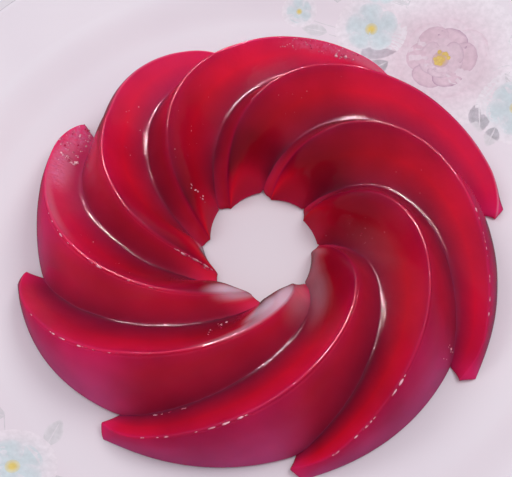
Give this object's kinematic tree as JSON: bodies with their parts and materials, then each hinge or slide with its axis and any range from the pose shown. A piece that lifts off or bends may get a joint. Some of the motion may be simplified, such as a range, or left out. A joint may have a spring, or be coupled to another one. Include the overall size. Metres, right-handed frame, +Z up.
{
  "type": "moulded ring jelly on a dinner plate",
  "caption": "Translucent red jelly turned out of a swirled ring mould, with spiral blades round a central hole, served on a shallow rimmed dinner plate.",
  "frame": {"origin": "on the table, at the centre of the plate's foot ring", "axes": "+Z up through the middle of the plate and of the ring; +X to the right and +Y away from a person looking along +Y"},
  "size_m": [0.332, 0.332, 0.0473],
  "materials": {
    "jelly": "wet, translucent, glossy gelatine",
    "plate": "glossy off-white glaze with a pastel floral print"
  },
  "bodies": {
    "root": {"jelly": "jelly", "plate": "plate"}
  },
  "joints": []
}
